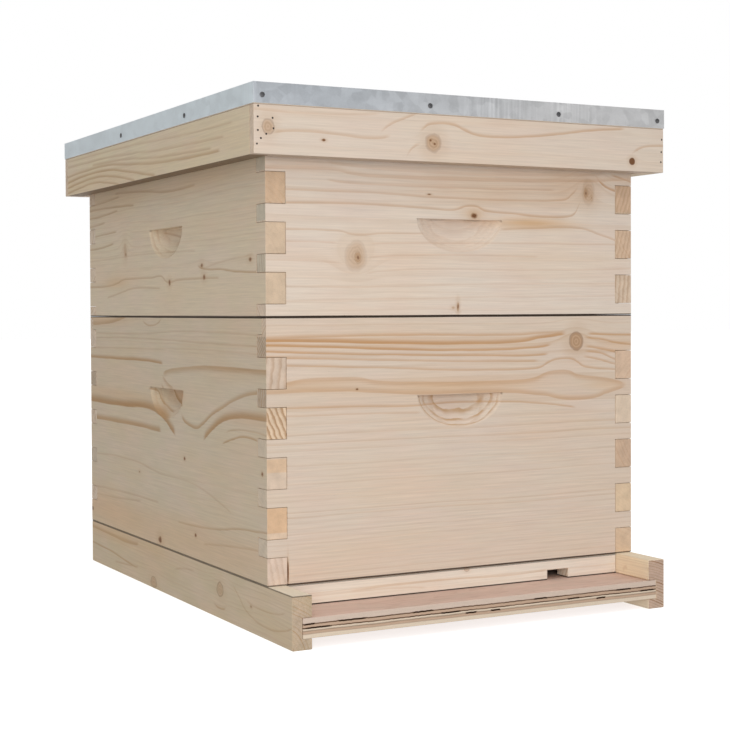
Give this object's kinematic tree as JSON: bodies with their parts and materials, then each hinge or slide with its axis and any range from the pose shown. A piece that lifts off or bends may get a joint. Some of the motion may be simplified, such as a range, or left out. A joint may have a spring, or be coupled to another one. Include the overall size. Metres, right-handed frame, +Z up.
{
  "type": "beehive",
  "caption": "Stacked wooden beehive: bottom board with entrance reducer, finger-jointed deep and medium boxes holding hanging frames, inner cover and metal-topped outer cover.",
  "frame": {"origin": "on the ground, at the middle of the hive's overall length and width", "axes": "+Z up; -Y towards the entrance and landing board; +X to the right of a person facing along +Y"},
  "size_m": [0.4598, 0.5828, 0.5016],
  "materials": {
    "pine": "planed, unfinished, with knots",
    "frame_wood": "planed, unfinished, fine grain",
    "plywood": "unfinished, reddish face veneer, layered edge",
    "galvanised_steel": "hot-dip galvanised, faint spangle",
    "nail_steel": "dull zinc",
    "beeswax": "pressed wax with a hexagonal cell pattern"
  },
  "bodies": {
    "bottom_board": {"bottom_rail_left": "pine", "bottom_rail_right": "pine", "bottom_floor": "plywood", "bottom_rear_cleat": "pine"},
    "entrance_reducer": {"entrance_reducer": "pine"},
    "deep_box": {"deep_front_board": "pine", "deep_rear_board": "pine", "deep_left_board": "pine", "deep_right_board": "pine"},
    "medium_box": {"medium_front_board": "pine", "medium_rear_board": "pine", "medium_left_board": "pine", "medium_right_board": "pine"},
    "inner_cover": {"inner_cover_panel": "plywood", "inner_cover_rim_front": "pine", "inner_cover_rim_rear": "pine", "inner_cover_rim_left": "pine", "inner_cover_rim_right": "pine"},
    "outer_cover": {"cover_metal_sheet": "galvanised_steel", "cover_panel": "plywood", "cover_rim_front": "pine", "cover_rim_rear": "pine", "cover_rim_left": "pine", "cover_rim_right": "pine", "cover_nail_front_1": "nail_steel", "cover_nail_front_2": "nail_steel", "cover_nail_front_3": "nail_steel", "cover_nail_front_4": "nail_steel", "cover_nail_rear_1": "nail_steel", "cover_nail_rear_2": "nail_steel", "cover_nail_rear_3": "nail_steel", "cover_nail_rear_4": "nail_steel", "cover_nail_left_1": "nail_steel", "cover_nail_left_2": "nail_steel", "cover_nail_right_1": "nail_steel", "cover_nail_right_2": "nail_steel"},
    "deep_frame_01": {"deep_frame_01_top_bar": "frame_wood", "deep_frame_01_front_end_bar": "frame_wood", "deep_frame_01_rear_end_bar": "frame_wood", "deep_frame_01_bottom_bar": "frame_wood", "deep_frame_01_foundation": "beeswax"},
    "deep_frame_02": {"deep_frame_02": "frame_wood"},
    "deep_frame_03": {"deep_frame_03": "frame_wood"},
    "deep_frame_04": {"deep_frame_04": "frame_wood"},
    "deep_frame_05": {"deep_frame_05": "frame_wood"},
    "deep_frame_06": {"deep_frame_06": "frame_wood"},
    "deep_frame_07": {"deep_frame_07": "frame_wood"},
    "deep_frame_08": {"deep_frame_08": "frame_wood"},
    "deep_frame_09": {"deep_frame_09": "frame_wood"},
    "deep_frame_10": {"deep_frame_10": "frame_wood"},
    "medium_frame_01": {"medium_frame_01": "frame_wood"},
    "medium_frame_02": {"medium_frame_02": "frame_wood"},
    "medium_frame_03": {"medium_frame_03": "frame_wood"},
    "medium_frame_04": {"medium_frame_04": "frame_wood"},
    "medium_frame_05": {"medium_frame_05": "frame_wood"},
    "medium_frame_06": {"medium_frame_06": "frame_wood"},
    "medium_frame_07": {"medium_frame_07": "frame_wood"},
    "medium_frame_08": {"medium_frame_08": "frame_wood"},
    "medium_frame_09": {"medium_frame_09": "frame_wood"},
    "medium_frame_10": {"medium_frame_10": "frame_wood"}
  },
  "joints": [
    {"name": "reducer_pull", "type": "slide", "parent": "bottom_board", "child": "entrance_reducer", "axis": [0, -1, 0], "range_m": [0, 0.09]},
    {"name": "deep_box_lift", "type": "slide", "parent": "bottom_board", "child": "deep_box", "axis": [0, 0, 1], "range_m": [0, 0.3]},
    {"name": "medium_box_lift", "type": "slide", "parent": "deep_box", "child": "medium_box", "axis": [0, 0, 1], "range_m": [0, 0.42]},
    {"name": "inner_cover_lift", "type": "slide", "parent": "medium_box", "child": "inner_cover", "axis": [0, 0, 1], "range_m": [0, 0.3]},
    {"name": "outer_cover_lift", "type": "slide", "parent": "inner_cover", "child": "outer_cover", "axis": [0, 0, 1], "range_m": [0, 0.2]},
    {"name": "deep_frame_01_lift", "type": "slide", "parent": "deep_box", "child": "deep_frame_01", "axis": [0, 0, 1], "range_m": [0, 0.26]},
    {"name": "deep_frame_02_lift", "type": "slide", "parent": "deep_box", "child": "deep_frame_02", "axis": [0, 0, 1], "range_m": [0, 0.26]},
    {"name": "deep_frame_03_lift", "type": "slide", "parent": "deep_box", "child": "deep_frame_03", "axis": [0, 0, 1], "range_m": [0, 0.26]},
    {"name": "deep_frame_04_lift", "type": "slide", "parent": "deep_box", "child": "deep_frame_04", "axis": [0, 0, 1], "range_m": [0, 0.26]},
    {"name": "deep_frame_05_lift", "type": "slide", "parent": "deep_box", "child": "deep_frame_05", "axis": [0, 0, 1], "range_m": [0, 0.26]},
    {"name": "deep_frame_06_lift", "type": "slide", "parent": "deep_box", "child": "deep_frame_06", "axis": [0, 0, 1], "range_m": [0, 0.26]},
    {"name": "deep_frame_07_lift", "type": "slide", "parent": "deep_box", "child": "deep_frame_07", "axis": [0, 0, 1], "range_m": [0, 0.26]},
    {"name": "deep_frame_08_lift", "type": "slide", "parent": "deep_box", "child": "deep_frame_08", "axis": [0, 0, 1], "range_m": [0, 0.26]},
    {"name": "deep_frame_09_lift", "type": "slide", "parent": "deep_box", "child": "deep_frame_09", "axis": [0, 0, 1], "range_m": [0, 0.26]},
    {"name": "deep_frame_10_lift", "type": "slide", "parent": "deep_box", "child": "deep_frame_10", "axis": [0, 0, 1], "range_m": [0, 0.26]},
    {"name": "medium_frame_01_lift", "type": "slide", "parent": "medium_box", "child": "medium_frame_01", "axis": [0, 0, 1], "range_m": [0, 0.19]},
    {"name": "medium_frame_02_lift", "type": "slide", "parent": "medium_box", "child": "medium_frame_02", "axis": [0, 0, 1], "range_m": [0, 0.19]},
    {"name": "medium_frame_03_lift", "type": "slide", "parent": "medium_box", "child": "medium_frame_03", "axis": [0, 0, 1], "range_m": [0, 0.19]},
    {"name": "medium_frame_04_lift", "type": "slide", "parent": "medium_box", "child": "medium_frame_04", "axis": [0, 0, 1], "range_m": [0, 0.19]},
    {"name": "medium_frame_05_lift", "type": "slide", "parent": "medium_box", "child": "medium_frame_05", "axis": [0, 0, 1], "range_m": [0, 0.19]},
    {"name": "medium_frame_06_lift", "type": "slide", "parent": "medium_box", "child": "medium_frame_06", "axis": [0, 0, 1], "range_m": [0, 0.19]},
    {"name": "medium_frame_07_lift", "type": "slide", "parent": "medium_box", "child": "medium_frame_07", "axis": [0, 0, 1], "range_m": [0, 0.19]},
    {"name": "medium_frame_08_lift", "type": "slide", "parent": "medium_box", "child": "medium_frame_08", "axis": [0, 0, 1], "range_m": [0, 0.19]},
    {"name": "medium_frame_09_lift", "type": "slide", "parent": "medium_box", "child": "medium_frame_09", "axis": [0, 0, 1], "range_m": [0, 0.19]},
    {"name": "medium_frame_10_lift", "type": "slide", "parent": "medium_box", "child": "medium_frame_10", "axis": [0, 0, 1], "range_m": [0, 0.19]}
  ],
  "couplings": [
    {"joint": "deep_frame_01_lift", "follows": "medium_box_lift", "ratio": 0.6},
    {"joint": "deep_frame_02_lift", "follows": "medium_box_lift", "ratio": 0.6},
    {"joint": "deep_frame_03_lift", "follows": "medium_box_lift", "ratio": 0.6},
    {"joint": "deep_frame_04_lift", "follows": "medium_box_lift", "ratio": 0.6},
    {"joint": "deep_frame_05_lift", "follows": "medium_box_lift", "ratio": 0.6},
    {"joint": "deep_frame_06_lift", "follows": "medium_box_lift", "ratio": 0.6},
    {"joint": "deep_frame_07_lift", "follows": "medium_box_lift", "ratio": 0.6},
    {"joint": "deep_frame_08_lift", "follows": "medium_box_lift", "ratio": 0.6},
    {"joint": "deep_frame_09_lift", "follows": "medium_box_lift", "ratio": 0.6},
    {"joint": "deep_frame_10_lift", "follows": "medium_box_lift", "ratio": 0.6},
    {"joint": "medium_frame_01_lift", "follows": "inner_cover_lift", "ratio": 0.6},
    {"joint": "medium_frame_02_lift", "follows": "inner_cover_lift", "ratio": 0.6},
    {"joint": "medium_frame_03_lift", "follows": "inner_cover_lift", "ratio": 0.6},
    {"joint": "medium_frame_04_lift", "follows": "inner_cover_lift", "ratio": 0.6},
    {"joint": "medium_frame_05_lift", "follows": "inner_cover_lift", "ratio": 0.6},
    {"joint": "medium_frame_06_lift", "follows": "inner_cover_lift", "ratio": 0.6},
    {"joint": "medium_frame_07_lift", "follows": "inner_cover_lift", "ratio": 0.6},
    {"joint": "medium_frame_08_lift", "follows": "inner_cover_lift", "ratio": 0.6},
    {"joint": "medium_frame_09_lift", "follows": "inner_cover_lift", "ratio": 0.6},
    {"joint": "medium_frame_10_lift", "follows": "inner_cover_lift", "ratio": 0.6}
  ]
}
